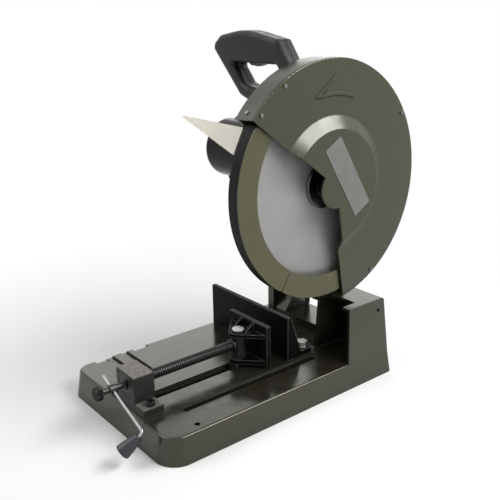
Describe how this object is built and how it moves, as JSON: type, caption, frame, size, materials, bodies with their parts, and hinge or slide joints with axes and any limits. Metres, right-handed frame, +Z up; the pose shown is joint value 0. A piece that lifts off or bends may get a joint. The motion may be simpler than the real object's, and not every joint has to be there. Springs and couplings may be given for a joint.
{
  "type": "dry-cut metal saw",
  "caption": "Bench chop saw for metal: swinging motor head with guarded toothed blade over a cast base, with a crank-screw vise and a turnable fence.",
  "frame": {"origin": "centre of the bench bolt pattern, on the floor plane of the base", "axes": "+X to the operator's right, +Y from the operator to the rear, +Z up"},
  "size_m": [0.3032, 0.5979, 0.5817],
  "materials": {
    "base_paint": "semi-gloss grey-brown enamel on a casting",
    "guard_paint": "semi-gloss olive-grey enamel",
    "swing_guard_paint": "semi-gloss olive-brown enamel",
    "black_paint": "satin black paint",
    "black_iron": "blackened iron with worn edges",
    "black_oxide": "black oxide",
    "bright_steel": "ground steel",
    "screw_steel": "dark oiled thread",
    "spring_steel": "oiled spring wire",
    "dark_steel": "phosphated",
    "blade_steel": "radially ground satin",
    "gear_steel": "hardened, oiled",
    "lamination": "varnished sheet stack",
    "zinc": "zinc plated",
    "cast_aluminium": "as cast",
    "bronze": "oiled bronze",
    "motor_black": "glossy black moulding",
    "handle_plastic": "fine grained black moulding",
    "trigger_plastic": "smooth black moulding",
    "brush_cap_plastic": "smooth black moulding",
    "switch_plastic": "moulded",
    "fan_plastic": "moulded",
    "grip_plastic": "turned grey-black grip",
    "carbon": "pressed carbon",
    "gland_rubber": "ribbed rubber",
    "bare_label": "brushed, left blank",
    "clear_plastic": "clear moulded sheet"
  },
  "bodies": {
    "base": {"base": "base_paint", "pivot_shaft": "bright_steel", "pivot_screw": "black_oxide", "depth_stop": "black_oxide", "return_spring": "spring_steel", "vise_block": "black_iron", "vise_block_bolts": "black_oxide", "vise_nut": "black_oxide", "fence_bolts": "zinc"},
    "head": {"swing_arm": "black_paint", "arm_bushes": "bronze", "arm_bolts": "black_oxide", "gear_case": "black_paint", "gear_cover": "cast_aluminium", "gear_cover_screws": "zinc", "guard_retainers": "spring_steel", "bearings": "bright_steel", "motor_housing": "motor_black", "field_core": "lamination", "motor_end_cap": "motor_black", "brush_caps": "brush_cap_plastic", "carbon_brushes": "carbon", "upper_guard": "guard_paint", "guard_cover": "guard_paint", "guard_screws": "zinc", "guard_mount_screws": "zinc", "label_plate": "bare_label", "clear_shield": "clear_plastic", "shield_bracket": "black_paint", "shield_screws": "zinc", "handle_front": "handle_plastic", "handle_rear": "handle_plastic", "handle_screws": "black_oxide", "power_switch": "switch_plastic", "cord_gland": "gland_rubber"},
    "swing_guard": {"lower_guard": "black_paint", "guard_front_plate": "swing_guard_paint", "guard_rear_plate": "swing_guard_paint"},
    "blade": {"saw_blade": "blade_steel", "inner_flange": "bright_steel", "outer_flange": "dark_steel", "arbor_bolt": "dark_steel", "spindle": "bright_steel", "drive_gear": "gear_steel"},
    "armature": {"armature_shaft": "bright_steel", "rotor": "lamination", "fan": "fan_plastic"},
    "trigger": {"trigger": "trigger_plastic"},
    "carriage": {"jaw_slider": "black_iron", "slide_shoe": "black_iron", "jaw_pin": "bright_steel"},
    "screw": {"vise_screw": "screw_steel", "crank_bar": "bright_steel", "end_knob": "black_iron", "screw_collar": "black_oxide"},
    "grip": {"crank_grip": "grip_plastic"},
    "jaw": {"vise_jaw": "black_iron"},
    "fence": {"fence": "black_iron"}
  },
  "joints": [
    {"name": "arm_swing", "type": "hinge", "parent": "base", "child": "head", "pos_m": [0, 0.21, 0.119], "axis": [1, 0, 0], "range_deg": [0, 45.5], "stiffness_Nm_per_rad": 30, "springref_deg": -42.97, "deforming": ["return_spring"]},
    {"name": "guard_swing", "type": "hinge", "parent": "head", "child": "swing_guard", "pos_m": [0.08, 0.1189, 0.3463], "axis": [1, 0, 0], "range_deg": [-137, 0]},
    {"name": "blade_spin", "type": "hinge", "parent": "head", "child": "blade", "pos_m": [0.0886, 0.1189, 0.3463], "axis": [1, 0, 0], "continuous": true},
    {"name": "motor_spin", "type": "hinge", "parent": "head", "child": "armature", "pos_m": [0, 0.08061, 0.38751], "axis": [1, 0, 0], "continuous": true},
    {"name": "trigger_press", "type": "slide", "parent": "head", "child": "trigger", "axis": [0, 0, 1], "range_m": [0, 0.005], "stiffness_N_per_m": 800, "springref_m": -0.003},
    {"name": "vise_slide", "type": "slide", "parent": "base", "child": "carriage", "axis": [0, 1, 0], "range_m": [-0.15, 0.004]},
    {"name": "screw_spin", "type": "hinge", "parent": "carriage", "child": "screw", "pos_m": [0.021, -0.1, 0.082], "axis": [0, 1, 0], "continuous": true},
    {"name": "grip_spin", "type": "hinge", "parent": "screw", "child": "grip", "pos_m": [0.10479, -0.2433, 0.04781], "axis": [-0.2454, -0.7604, -0.6013], "continuous": true},
    {"name": "jaw_swivel", "type": "hinge", "parent": "carriage", "child": "jaw", "pos_m": [0.021, -0.0045, 0.082], "axis": [0, 0, 1], "range_deg": [-25, 25]},
    {"name": "fence_swing", "type": "hinge", "parent": "base", "child": "fence", "pos_m": [0.059, 0.105, 0.05], "axis": [0, 0, 1], "range_deg": [-25, 0]}
  ],
  "couplings": [
    {"joint": "guard_swing", "follows": "arm_swing", "ratio": -3.01},
    {"joint": "motor_spin", "follows": "blade_spin", "ratio": -6.5},
    {"joint": "screw_spin", "follows": "vise_slide", "rad_per_m": 1570.8}
  ]
}
